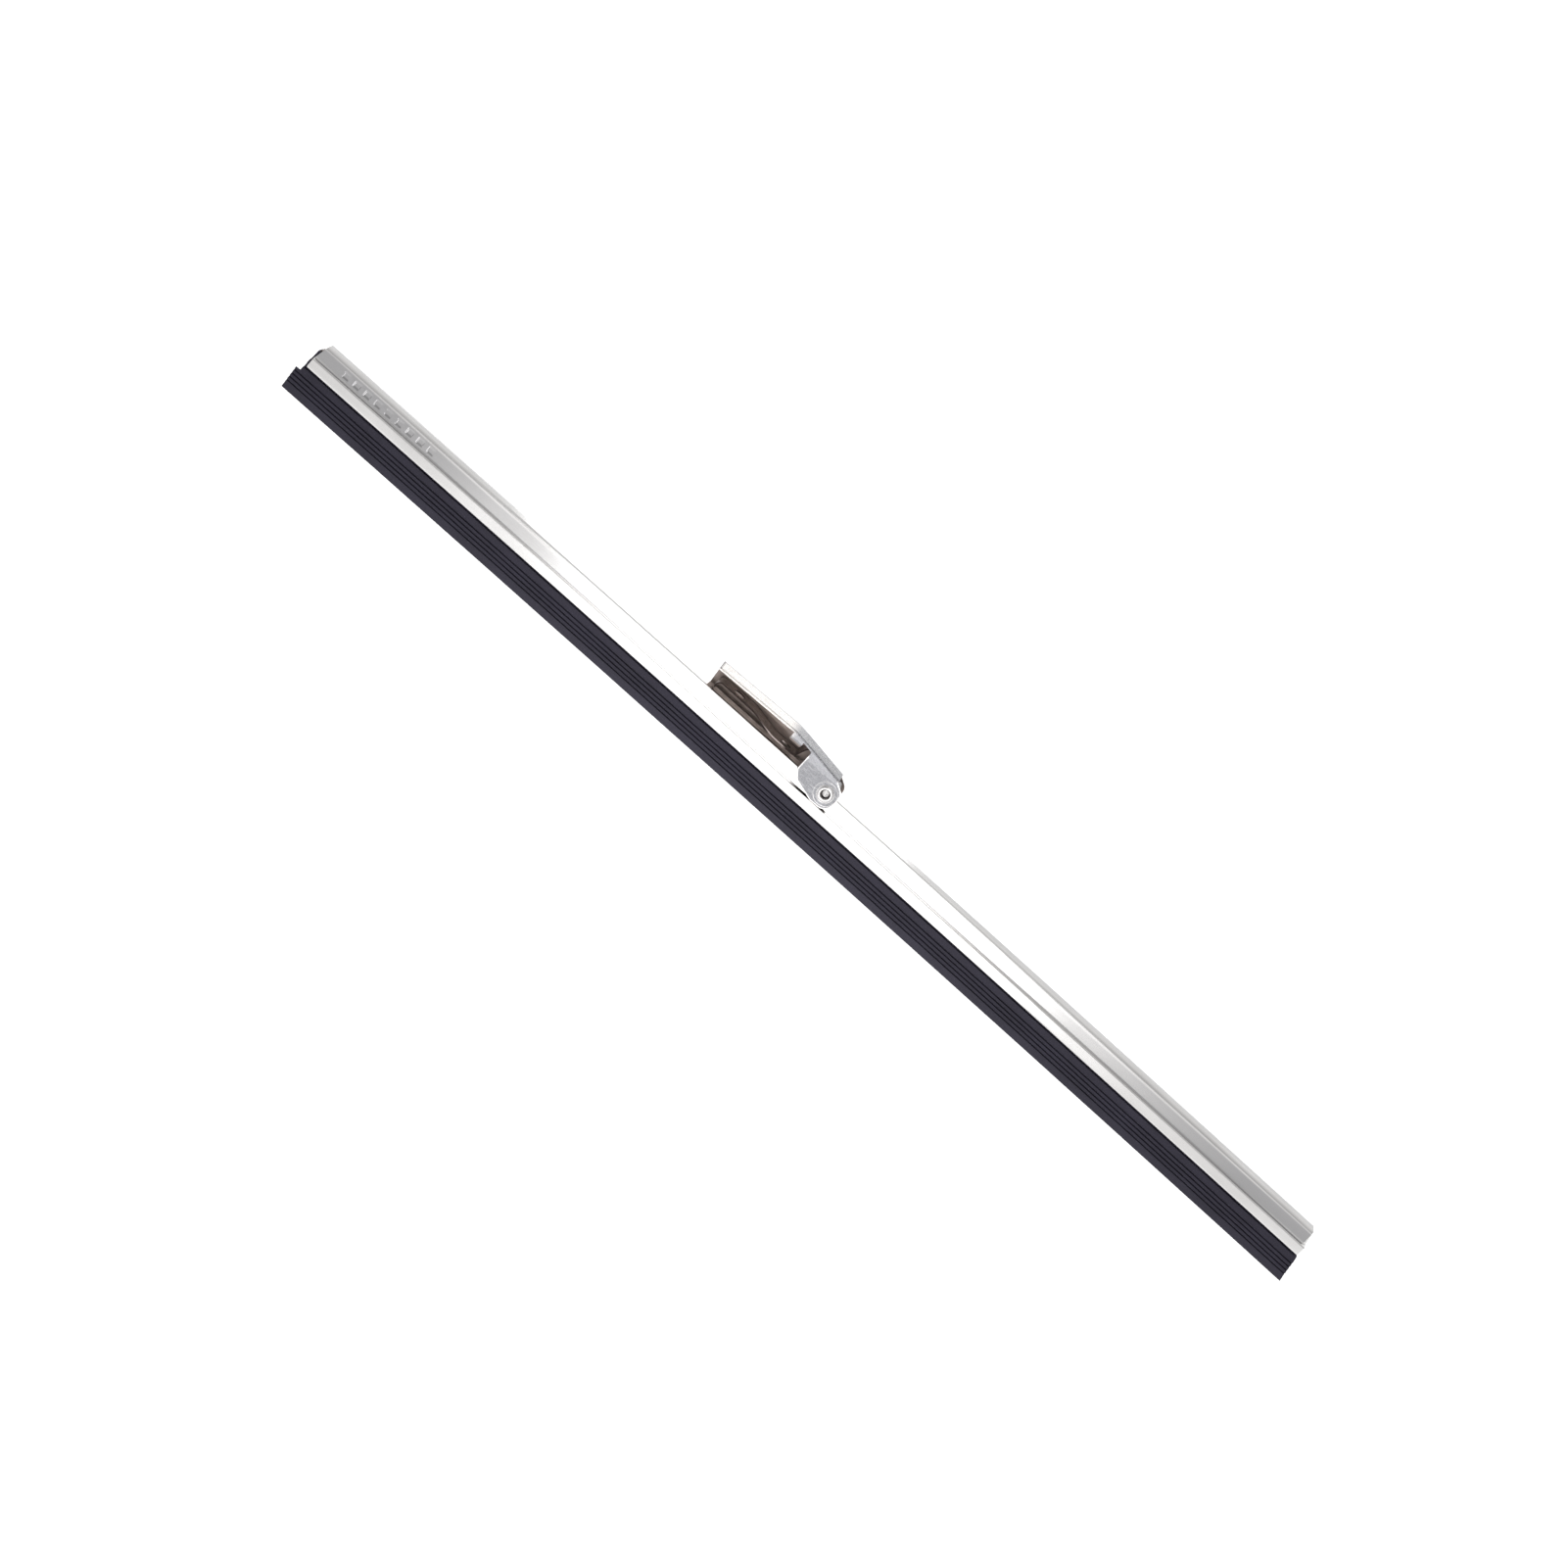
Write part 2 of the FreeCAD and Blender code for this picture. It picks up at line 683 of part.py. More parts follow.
def make_leaf(doc):
    """The free end of the latch spring, which rises to a curled nose, with a slot and the latch hole."""
    line = [
        (cell("leaf_low_x"), cell("leaf_low"), cell("leaf_bend_radius")),
        (cell("leaf_crest_end_x"), cell("leaf_crest"), cell("leaf_bend_radius")),
        (cell("leaf_nose_x"), cell("leaf_crest"), cell("leaf_nose_radius")),
        (cell("leaf_tip_x"), cell("leaf_tip")),
    ]
    body = make_leaf_strip(doc, "leaf_spring", line)
    hole = make_sketch(body, "LatchHole", "XY_Plane")
    draw_circle(hole, cell("latch_hole_x"), as_size(0.0), cell("latch_hole_radius"))
    add_cut(body, "LatchHoleCut", hole)
    slot = make_sketch(body, "Slot", "XY_Plane")
    left = cell("slot_centre_x") - cell("slot_half_length")
    right = cell("slot_centre_x") + cell("slot_half_length")
    near, far = cell("slot_near"), cell("slot_far")
    draw_path(slot, [(left, near, 0.2), (right, near, 0.2), (right, far, 0.2), (left, far, 0.2)])
    add_cut(body, "SlotCut", slot)
    return body


def make_rivet(doc):
    """A hollow rivet along Y, with a rolled head outside each ear and a funnel in each end."""
    body = make_body(doc, "pivot_rivet")
    section = make_sketch(body, "Section", "YZ_Plane")
    axis_height, soft = cell("pivot_height"), cell("rivet_round")
    ear_face = cell("clip_half_width")
    head_face = ear_face + cell("rivet_head_height")
    head_top = axis_height + cell("rivet_head_radius")
    mouth_top = axis_height + cell("mouth_radius")
    bore_top = axis_height + cell("bore_radius")
    half = [
        (ear_face - 0.5, bore_top, 0.6),
        (head_face, mouth_top, 0.12),
        (head_face, head_top, soft),
        (ear_face, head_top, 0.12),
        (ear_face, axis_height + cell("shank_radius")),
    ]
    draw_path(section, mirrored(half))
    axis = draw_axis(section, axis_height)
    spin = body.newObject("PartDesign::Revolution", "Spin")
    spin.Profile = section
    spin.ReferenceAxis = (section, [axis])
    spin.Angle = 360.0
    return body


def check(doc, parts):
    """Stops if any object failed to compute or any sub-part's solid is missing or bad."""
    for obj in doc.Objects:
        bad = [state for state in obj.State if state in ("Invalid", "Error")]
        if bad:
            raise ValueError(f"{obj.Name} is {bad}")
    for part in parts:
        if part.Shape.isNull() or not part.Shape.isValid() or len(part.Shape.Solids) != 1:
            raise ValueError(f"{part.Label} has a bad shape")


def main():
    doc = FreeCAD.newDocument("wiper_blade")
    make_sheet(doc)
    makers = (
        make_channel,
        make_rubber,
        make_backing_strip,
        make_end_stop,
        make_saddle,
        make_clip_body,
        make_leaf_root,
        make_leaf,
        make_rivet,
    )
    parts = [make(doc) for make in makers]
    doc.recompute()
    check(doc, parts)
    os.makedirs("parts", exist_ok=True)
    for part in parts:
        part.Shape.exportStep(f"parts/{part.Label}.step")
        box = part.Shape.BoundBox
        print(f"{part.Label}: {part.Shape.Volume:.1f} mm3, {box}")


main()
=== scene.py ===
"""A windscreen wiper blade for a flat screen, in its studio. Lengths in the tables are millimetres."""

import math

import bmesh
import bpy
from mathutils import Matrix, Vector

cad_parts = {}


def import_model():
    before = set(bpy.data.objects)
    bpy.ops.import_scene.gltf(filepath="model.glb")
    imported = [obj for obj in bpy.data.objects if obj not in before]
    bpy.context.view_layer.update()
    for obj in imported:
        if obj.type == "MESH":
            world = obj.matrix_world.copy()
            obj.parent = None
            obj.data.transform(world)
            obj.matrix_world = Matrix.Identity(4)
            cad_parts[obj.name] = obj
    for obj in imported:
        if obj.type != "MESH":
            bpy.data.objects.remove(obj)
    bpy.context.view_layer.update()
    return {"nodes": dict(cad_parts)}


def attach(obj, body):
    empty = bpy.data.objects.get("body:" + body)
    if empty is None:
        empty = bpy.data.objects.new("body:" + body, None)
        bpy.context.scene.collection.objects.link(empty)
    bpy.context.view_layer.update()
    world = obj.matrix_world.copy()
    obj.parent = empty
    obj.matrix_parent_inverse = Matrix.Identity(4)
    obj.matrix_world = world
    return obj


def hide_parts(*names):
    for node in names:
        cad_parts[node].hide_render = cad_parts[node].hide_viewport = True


MM = 0.001

# The blade's bow: a very large circle about an axis that runs along Y, far below the blade.
LIFT = 0.5
LIP_HALF_LENGTH = 140.6
BOW_RADIUS = (LIP_HALF_LENGTH**2 + LIFT**2) / (2 * LIFT)

# Channel
SHEET = 0.5
FLANGE_HALF_LENGTH = 138.8
BAND_HALF_LENGTH = 138.0
LEDGE_LOW = 10.2
LEDGE_HIGH = 10.5
BAND_TOP = 13.85
BAND_HALF_WIDTH = 2.3
FLANGE_FOOT = 7.85
END_ZONE = 1.2
BARS_ZONE = (-134.0, -105.0, 0.12)

# Rubber
HEAD_STAND_OUT = 0.7
LIP_RIGHT_END = 141.0
SHOULDER_RIGHT_END = 139.2
SHOULDER_TOP = 7.25
NEAR_STEP, FAR_STEP = 6.4, 5.2
NECK_FOOT = 7.5
STEP_GUARD = 0.03
RUBBER_END_ZONE = 4.0
RIB_COUNT = 3

# Pivot and clip
PIVOT_HEIGHT = 13.6
EAR_FACE = 3.4
PLATE_LEFT = -33.9
EAR_SPLAY = 0.12
RIVET_SIDES = 64

# Camera
AIM = (-7.6, 0.0, 8.4)
AZIMUTH, ELEVATION, ROLL = 3.03, 14.98, 42.69
DISTANCE = 800.0
LENS = 87.9
FLOOR_HEIGHT = -165.0


# ---------------------------------------------------------------- outlines and meshes


def rounded(corners, step=0.25):
    """A closed outline through (across, up, radius) corners, with arcs at them and points along its sides."""
    points = []
    count = len(corners)
    for i, (y, z, radius) in enumerate(corners):
        corner = Vector((y, z))
        before = Vector(corners[i - 1][:2])
        after = Vector(corners[(i + 1) % count][:2])
        back, ahead = (before - corner).normalized(), (after - corner).normalized()
        if radius <= 0:
            points.append(corner)
            continue
        half = back.angle(ahead) / 2
        reach = radius / math.tan(half)
        centre = corner + (back + ahead).normalized() * (radius / math.sin(half))
        start, end = corner + back * reach, corner + ahead * reach
        sweep = math.pi - 2 * half
        turns = max(3, math.ceil(sweep / 0.26))
        first = start - centre
        side = 1 if first.cross(end - centre) > 0 else -1
        for k in range(turns + 1):
            a = side * sweep * k / turns
            points.append(centre + Vector((first.x * math.cos(a) - first.y * math.sin(a),
                                           first.x * math.sin(a) + first.y * math.cos(a))))
    filled = []
    for i, point in enumerate(points):
        nxt = points[(i + 1) % len(points)]
        pieces = max(1, math.ceil((nxt - point).length / step))
        filled += [point.lerp(nxt, k / pieces) for k in range(pieces)]
    return filled


def both_sides(half):
    """The outline from its half on the +Y side, listed from the foot round to the top."""
    return half + [(-c[0],) + tuple(c[1:]) for c in reversed(half)]


def bow(x, y, z):
    """A point of the straight blade, carried onto the bow, in metres."""
    angle = x / BOW_RADIUS
    reach = BOW_RADIUS + z - LIFT
    return Vector((reach * math.sin(angle), y, LIFT - BOW_RADIUS + reach * math.cos(angle))) * MM


def stations(start, end, step, fine=()):
    """Places along X, closer together inside each (from, to, step) of fine."""
    places = {start, end}
    count = math.ceil((end - start) / step)
    places.update(start + (end - start) * k / count for k in range(count))
    for low, high, small in fine:
        number = math.ceil((high - low) / small)
        places.update(low + (high - low) * k / number for k in range(number + 1))
    ordered = sorted(places)
    return [x for i, x in enumerate(ordered) if i == 0 or x - ordered[i - 1] > 1e-4 or x == end]


def loft(name, outline, places, shape, steps=()):
    """A closed solid with the outline at every place along X. shape(x, y, z) moves a point. The end faces are
    cut across between each (near height, far height) of steps, so that they can be stepped there."""
    bm = bmesh.new()
    rings = []
    for x in places:
        rings.append([bm.verts.new(bow(*shape(x, p.x, p.y))) for p in outline])
    count = len(outline)
    for a, b in zip(rings, rings[1:]):
        for k in range(count):
            bm.faces.new((a[k], b[k], b[(k + 1) % count], a[(k + 1) % count]))
    for ring in (list(reversed(rings[0])), rings[-1]):
        bm.faces.new(ring)
    for ring in (rings[0], rings[-1]):
        for near_height, far_height in steps:
            near = [vert for vert, p in zip(ring, outline) if p.x < 0 and abs(p.y - near_height) < 1e-5][0]
            far = [vert for vert, p in zip(ring, outline) if p.x > 0 and abs(p.y - far_height) < 1e-5][0]
            shared = [face for face in near.link_faces if face in list(far.link_faces)]
            bmesh.utils.face_split(shared[0], near, far)
    bmesh.ops.recalc_face_normals(bm, faces=bm.faces)
    return new_object(name, bm)


def lathe(name, profile, y_sign=1, sides=RIVET_SIDES, closed=False):
    """A ring or disc turned about the pivot's axis from (out, radius) points, where out is along Y."""
    bm = bmesh.new()
    rings = []
    for k in range(sides):
        a = 2 * math.pi * k / sides
        rings.append([
            bm.verts.new(Vector((r * math.sin(a), out * y_sign, PIVOT_HEIGHT + r * math.cos(a))) * MM)
            for out, r in profile
        ])
    last = len(profile) if closed else len(profile) - 1
    for k in range(sides):
        a, b = rings[k], rings[(k + 1) % sides]
        for j in range(last):
            n = (j + 1) % len(profile)
            bm.faces.new((a[j], a[n], b[n], b[j]))
    bmesh.ops.recalc_face_normals(bm, faces=bm.faces)
    return new_object(name, bm)


def new_object(name, bm):
    mesh = bpy.data.meshes.new(name)
    bm.to_mesh(mesh)
    bm.free()
    obj = bpy.data.objects.new(name, mesh)
    bpy.context.scene.collection.objects.link(obj)
    return obj


def apply_modifiers(obj):
    """Bakes the object's modifiers into its mesh."""
    depsgraph = bpy.context.evaluated_depsgraph_get()
    mesh = bpy.data.meshes.new_from_object(obj.evaluated_get(depsgraph))
    old = obj.data
    obj.modifiers.clear()
    obj.data = mesh
    bpy.data.meshes.remove(old)


def soften(obj, width, segments=3, angle=40.0, cutter=None):
    """Cuts with the cutter if there is one, rounds the sharp edges and smooths the shading."""
    if cutter is not None:
        cut = obj.modifiers.new("cut", "BOOLEAN")
        cut.operation = "DIFFERENCE"
        cut.solver = "EXACT"
        cut.object = cutter
    bevel = obj.modifiers.new("bevel", "BEVEL")
    bevel.width = width * MM
    bevel.segments = segments
    bevel.limit_method = "ANGLE"
    bevel.angle_limit = math.radians(angle)
    bevel.miter_outer = "MITER_ARC"
    bevel.use_clamp_overlap = True
    apply_modifiers(obj)
    if cutter is not None:
        bpy.data.objects.remove(cutter)
    shade(obj)


def shade(obj, angle=35.0):
    obj.data.shade_smooth()
    obj.data.set_sharp_from_angle(angle=math.radians(angle))
    normals = obj.modifiers.new("normals", "WEIGHTED_NORMAL")
    normals.keep_sharp = True
    apply_modifiers(obj)


def copy_of(frame, node, name):
    """A new piece from a CAD node's mesh, with its flat faces whole again so that the edges can be rounded."""
    obj = frame["nodes"][node].copy()
    obj.data = obj.data.copy()
    obj.name = name
    obj.data.name = name
    for key in list(obj.keys()):
        del obj[key]
    obj.parent = None
    obj.data.materials.clear()
    bpy.context.scene.collection.objects.link(obj)
    bm = bmesh.new()
    bm.from_mesh(obj.data)
    bmesh.ops.remove_doubles(bm, verts=bm.verts, dist=1e-7)
    bmesh.ops.dissolve_limit(bm, angle_limit=math.radians(0.6), verts=bm.verts, edges=bm.edges)
    bm.to_mesh(obj.data)
    bm.free()
    return obj


def join(target, *others):
    """Adds the others' meshes to the target's."""
    bm = bmesh.new()
    bm.from_mesh(target.data)
    for other in others:
        bm.from_mesh(other.data)
        bpy.data.objects.remove(other)
    bm.to_mesh(target.data)
    bm.free()
    target.data.shade_smooth()


def place(obj, body, slot, material, *nodes):
    obj.data.materials.clear()
    obj.data.materials.append(material)
    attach(obj, body)
    if nodes:
        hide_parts(*nodes)
    return obj


# ---------------------------------------------------------------- materials


class Nodes:
    """A small helper for a material's node tree."""

    def __init__(self, name):
        self.material = bpy.data.materials.new(name)
        self.material.use_nodes = True
        self.tree = self.material.node_tree
        self.shader = self.tree.nodes["Principled BSDF"]
        self.coords = self.tree.nodes.new("ShaderNodeTexCoord").outputs["Object"]

    def link(self, out, socket):
        self.tree.links.new(out, socket)

    def stretched(self, scale):
        """Object coordinates scaled by a different amount along each axis."""
        node = self.tree.nodes.new("ShaderNodeMapping")
        node.inputs["Scale"].default_value = scale
        self.link(self.coords, node.inputs["Vector"])
        return node.outputs["Vector"]

    def noise(self, scale, detail=3.0, roughness=0.5, distortion=0.0):
        node = self.tree.nodes.new("ShaderNodeTexNoise")
        node.inputs["Scale"].default_value = 1.0
        node.inputs["Detail"].default_value = detail
        node.inputs["Roughness"].default_value = roughness
        node.inputs["Distortion"].default_value = distortion
        self.link(self.stretched(scale), node.inputs["Vector"])
        return node.outputs["Fac"]

    def remap(self, value, low, high, out_low, out_high):
        node = self.tree.nodes.new("ShaderNodeMapRange")
        for socket, number in zip(("From Min", "From Max", "To Min", "To Max"), (low, high, out_low, out_high)):
            node.inputs[socket].default_value = number
        self.link(value, node.inputs["Value"])
        return node.outputs["Result"]

    def maths(self, operation, a, b=None):
        node = self.tree.nodes.new("ShaderNodeMath")
        node.operation = operation
        for socket, value in zip(node.inputs, (a, b)):
            if value is None:
                continue
            if isinstance(value, (int, float)):
                socket.default_value = value
            else:
                self.link(value, socket)
        return node.outputs[0]

    def blend(self, share, first, second):
        node = self.tree.nodes.new("ShaderNodeMix")
        node.data_type = "RGBA"
        self.link(share, node.inputs["Factor"])
        colour_inputs = [s for s in node.inputs if s.type == "RGBA"]
        for socket, colour in zip(colour_inputs, (first, second)):
            if isinstance(colour, tuple):
                socket.default_value = (*colour, 1.0)
            else:
                self.link(colour, socket)
        return [s for s in node.outputs if s.type == "RGBA"][0]

    def axis(self, name):
        node = self.tree.nodes.new("ShaderNodeSeparateXYZ")
        self.link(self.coords, node.inputs[0])
        return node.outputs[name]

    def facing(self, name):
        """One part of the direction that the surface faces."""
        geometry = self.tree.nodes.new("ShaderNodeNewGeometry")
        node = self.tree.nodes.new("ShaderNodeSeparateXYZ")
        self.link(geometry.outputs["Normal"], node.inputs[0])
        return node.outputs[name]

    def near_edge(self, radius):
        """1 at the sharp edges, falling to 0 a radius away from them."""
        rounded_off = self.tree.nodes.new("ShaderNodeBevel")
        rounded_off.samples = 8
        rounded_off.inputs["Radius"].default_value = radius
        geometry = self.tree.nodes.new("ShaderNodeNewGeometry")
        dot = self.tree.nodes.new("ShaderNodeVectorMath")
        dot.operation = "DOT_PRODUCT"
        self.link(rounded_off.outputs["Normal"], dot.inputs[0])
        self.link(geometry.outputs["Normal"], dot.inputs[1])
        return self.remap(dot.outputs["Value"], 0.995, 0.95, 0.0, 1.0)

    def bump(self, height, distance, below=None):
        node = self.tree.nodes.new("ShaderNodeBump")
        node.inputs["Strength"].default_value = 1.0
        node.inputs["Distance"].default_value = distance
        self.link(height, node.inputs["Height"])
        if below is not None:
            self.link(below, node.inputs["Normal"])
        return node.outputs["Normal"]

    def set(self, **values):
        for name, value in values.items():
            socket = self.shader.inputs[name.replace("_", " ")]
            if isinstance(value, (int, float)):
                socket.default_value = value
            elif isinstance(value, tuple):
                socket.default_value = (*value, 1.0)
            else:
                self.link(value, socket)
        return self.material


def channel_steel():
    """Polished stainless strip: long soft waves from rolling, fine drawing lines and a few short scuffs."""
    n = Nodes("channel_steel")
    waves = n.noise((14.0, 330.0, 330.0), detail=1.0)
    lines = n.noise((30.0, 9000.0, 9000.0), detail=4.0, roughness=0.6)
    scuffs = n.noise((700.0, 1500.0, 1500.0), detail=5.0, roughness=0.7, distortion=1.2)
    cloud = n.noise((60.0, 160.0, 160.0), detail=4.0)
    bright = n.blend(n.remap(cloud, 0.3, 0.7, 0.0, 1.0), (0.66, 0.648, 0.64), (0.74, 0.73, 0.722))
    # Where each change of colour starts and is complete, in metres.
    band_side, towards_end = (0.00205, 0.00215), (0.045, 0.120)
    band_foot, band_top, ledge_top = (0.0101, 0.0103), (0.0125, 0.0129), (0.0112, 0.0110)
    plate_left, plate_foot = (0.13809, 0.13815), (0.0100, 0.0101)
    # The band's side faces are painted darker towards the ends: a painted shade.
    side = n.remap(n.maths("ABSOLUTE", n.axis("Y")), *band_side, 0.0, 1.0)
    above = n.remap(n.axis("Z"), *band_foot, 0.0, 1.0)
    below = n.remap(n.axis("Z"), *band_top, 1.0, 0.0)
    out = n.remap(n.maths("ABSOLUTE", n.axis("X")), *towards_end, 0.0, 1.0)
    share = n.maths("MULTIPLY", n.maths("MULTIPLY", side, above), n.maths("MULTIPLY", below, out))
    shaded_ends = n.blend(share, bright, (0.37, 0.365, 0.37))
    # The ledge's upward faces carry a painted highlight.
    ledge = n.maths("MULTIPLY", n.remap(n.facing("Z"), 0.80, 0.90, 0.0, 1.0),
                    n.remap(n.axis("Z"), *ledge_top, 0.0, 1.0))
    # The stop plate past the band's right end is brighter, a painted highlight.
    plate = n.maths("MULTIPLY", n.remap(n.axis("X"), *plate_left, 0.0, 1.0),
                    n.remap(n.axis("Z"), *plate_foot, 0.0, 1.0))
    colour = n.blend(n.maths("MAXIMUM", ledge, plate), shaded_ends, (0.98, 0.97, 0.96))
    rough = n.maths("ADD", n.remap(lines, 0.3, 0.7, 0.10, 0.16), n.remap(scuffs, 0.6, 0.8, 0.0, 0.06))
    normal = n.bump(waves, 0.00012)
    normal = n.bump(lines, 0.0000012, below=normal)
    return n.set(Base_Color=colour, Metallic=1.0, Roughness=rough, Normal=normal)


def clip_steel():
    """Tumbled stainless: rougher than the channel, with fine scratches both ways, and a painted shade on its
    rougher inner walls.
    """
    n = Nodes("clip_steel")
    one = n.noise((700.0, 6000.0, 3800.0), detail=3.0, roughness=0.7, distortion=0.9)
    two = n.noise((4200.0, 2400.0, 800.0), detail=3.0, roughness=0.7, distortion=1.2)
    dents = n.noise((260.0, 260.0, 260.0), detail=2.0)
    scratch = n.maths("MAXIMUM", n.remap(one, 0.52, 0.72, 0.0, 1.0), n.remap(two, 0.55, 0.75, 0.0, 1.0))
    pale = n.blend(n.remap(dents, 0.35, 0.65, 0.0, 1.0), (0.72, 0.68, 0.65), (0.78, 0.74, 0.71))
    grey = n.blend(scratch, (0.27, 0.27, 0.285), (0.47, 0.47, 0.485))
    # Where the clip turns grey, a painted shade on its ears, and where its ears begin, in metres.
    grey_from, ears_below, splay_below = (-0.0150, -0.0125), (0.0176, 0.0170), 0.0166
    # The plate's far fold and its sheared left end are painted dark: a painted shade outline.
    fold = n.remap(n.axis("Y"), (EAR_FACE - 1.2) * MM, (EAR_FACE - 0.4) * MM, 0.0, 1.0)
    sheared = n.remap(n.axis("X"), (PLATE_LEFT + 0.6) * MM, (PLATE_LEFT + 0.1) * MM, 0.0, 1.0)
    plate = n.maths("MULTIPLY", n.maths("MAXIMUM", fold, sheared), n.maths("GREATER_THAN", n.facing("Z"), 0.5))
    pale = n.blend(plate, pale, (0.11, 0.10, 0.10))
    outer = n.blend(n.remap(n.axis("X"), *grey_from, 0.0, 1.0), pale, grey)
    across = n.maths("ABSOLUTE", n.axis("Y"))
    # The inner walls are painted dark, a painted shade inside the clip, and are rougher.
    inside = n.remap(across, (EAR_FACE - 0.46) * MM, (EAR_FACE - 0.40) * MM, 1.0, 0.0)
    sideways = n.maths("ABSOLUTE", n.facing("Y"))
    inner_wall = n.maths("MULTIPLY", inside, n.maths("GREATER_THAN", sideways, 0.7))
    # The ears' rounded edges are painted bright: a painted highlight.
    ear = n.maths("MULTIPLY", n.remap(n.axis("Z"), *ears_below, 0.0, 1.0), n.maths("SUBTRACT", 1.0, inside))
    edge = n.maths("MAXIMUM", n.near_edge(0.00055), n.remap(sideways, 0.90, 0.985, 1.0, 0.0))
    rim = n.maths("MULTIPLY", ear, edge)
    rim_highlighted = n.blend(rim, outer, (0.95, 0.93, 0.92))
    colour = n.blend(inner_wall, rim_highlighted, (0.27, 0.225, 0.205))
    rough = n.maths("ADD", n.remap(scratch, 0.0, 1.0, 0.24, 0.42), n.maths("MULTIPLY", inner_wall, 0.12))
    # The ears' shading normals tilt as if they splay a little below the fold.
    low = n.maths("MINIMUM", n.axis("Z"), splay_below)
    splay = n.bump(low, EAR_SPLAY)
    normal = n.bump(dents, 0.00006, below=splay)
    normal = n.bump(scratch, 0.000012, below=normal)
    return n.set(Base_Color=colour, Metallic=1.0, Roughness=rough, Normal=normal)


def spring_steel():
    """Rolled spring strip, darker than the stainless: lengthwise grain, a straw tint and a painted shade on its
    rougher sheared edges.
    """
    n = Nodes("spring_steel")
    grain = n.noise((120.0, 6000.0, 6000.0), detail=4.0, roughness=0.6)
    tint = n.noise((300.0, 300.0, 300.0), detail=3.0)
    face = n.blend(n.remap(tint, 0.35, 0.65, 0.0, 1.0), (0.19, 0.15, 0.14), (0.30, 0.26, 0.245))
    edge = n.remap(n.maths("ABSOLUTE", n.facing("Y")), 0.45, 0.8, 0.0, 1.0)
    # The stretches along X, in metres, where the cut edges turn to painted shade.
    left_stretch, right_stretch = (-0.0205, -0.0175), (-0.0135, -0.0125)
    cut = n.maths("MAXIMUM", n.remap(n.axis("X"), *left_stretch, 1.0, 0.0),
                  n.remap(n.axis("X"), *right_stretch, 0.0, 1.0))
    shaded_edges = n.maths("MULTIPLY", edge, cut)
    colour = n.blend(shaded_edges, face, (0.035, 0.026, 0.024))
    rough = n.maths("ADD", n.remap(grain, 0.3, 0.7, 0.22, 0.38), n.maths("MULTIPLY", shaded_edges, 0.3))
    return n.set(Base_Color=colour, Metallic=1.0, Roughness=rough, Normal=n.bump(grain, 0.000002))


def rivet_steel():
    """A rolled hollow rivet: satin, with a fine mottle."""
    n = Nodes("rivet_steel")
    mottle = n.noise((900.0, 900.0, 900.0), detail=4.0)
    colour = n.blend(n.remap(mottle, 0.35, 0.65, 0.0, 1.0), (0.60, 0.58, 0.575), (0.74, 0.73, 0.72))
    rough = n.remap(mottle, 0.3, 0.7, 0.2, 0.36)
    return n.set(Base_Color=colour, Metallic=1.0, Roughness=rough, Normal=n.bump(mottle, 0.00001))


def rubber():
    """Moulded black rubber: faintly blue, semi-matt, with extrusion lines, a fine skin and a little bloom."""
    n = Nodes("rubber")
    skin = n.noise((2600.0, 2600.0, 2600.0), detail=4.0, roughness=0.6)
    lines = n.noise((14.0, 5200.0, 5200.0), detail=3.0)
    bloom = n.noise((90.0, 240.0, 240.0), detail=5.0, roughness=0.65)
    colour = n.blend(n.remap(bloom, 0.35, 0.75, 0.0, 1.0), (0.009, 0.008, 0.0135), (0.018, 0.0165, 0.0265))
    rough = n.maths("ADD", n.remap(skin, 0.3, 0.7, 0.33, 0.43), n.remap(bloom, 0.4, 0.7, 0.0, 0.1))
    normal = n.bump(lines, 0.000012)
    normal = n.bump(skin, 0.000008, below=normal)
    n.shader.inputs["Specular IOR Level"].default_value = 0.36
    n.shader.inputs["Specular Tint"].default_value = (0.86, 0.82, 1.0, 1.0)
    return n.set(Base_Color=colour, Roughness=rough, Normal=normal)


def paper():
    """The floor: matt white with the faintest unevenness."""
    n = Nodes("studio_paper")
    mottle = n.noise((6.0, 6.0, 6.0), detail=3.0)
    colour = n.blend(n.remap(mottle, 0.3, 0.7, 0.0, 1.0), (0.93, 0.93, 0.93), (0.95, 0.95, 0.95))
    return n.set(Base_Color=colour, Roughness=0.9)


# ---------------------------------------------------------------- the blade


def pressed_bars(x, z):
    """How far the near face is pressed in at a place: a row of short upright bars with soft edges."""
    first, spacing, count, length, low, high, depth = -132.0, 2.9, 9, 1.5, 11.25, 12.45, 0.12
    soft = 0.16
    index = round((x - first - length / 2) / spacing)
    if not 0 <= index < count:
        return 0.0
    middle = first + length / 2 + spacing * index
    along = length / 2 - abs(x - middle)
    up = (high - low) / 2 - abs(z - (high + low) / 2)
    edge = min(max(min(along, up) / soft + 0.5, 0.0), 1.0)
    return depth * edge * edge * (3 - 2 * edge)


def end_trim(x, z):
    """How far the sheet's end is set back at a height: the band leans back on the left and is cut off short on
    the right, and the flange's lower corner is rounded."""
    short = FLANGE_HALF_LENGTH - BAND_HALF_LENGTH
    corner = 0.5
    if z > LEDGE_HIGH:
        return short * (z - LEDGE_HIGH) / (BAND_TOP - LEDGE_HIGH) if x < 0 else short
    drop = FLANGE_FOOT + corner - z
    return corner - math.sqrt(max(corner * corner - drop * drop, 0.0)) if drop > 0 else 0.0


def channel_shape(x, y, z):
    """The channel's ends are trimmed, and its near face carries the pressed bars."""
    near_end = max(0.0, abs(x) - (FLANGE_HALF_LENGTH - END_ZONE)) / END_ZONE
    x -= math.copysign(end_trim(x, z) * near_end, x)
    if z > LEDGE_HIGH:
        if y < 0:
            y += pressed_bars(x, z)
        if abs(y) > 1.0:
            y -= math.copysign(0.015 * math.sin(math.pi * (z - LEDGE_HIGH) / (BAND_TOP - LEDGE_HIGH)), y)
    return x, y, z


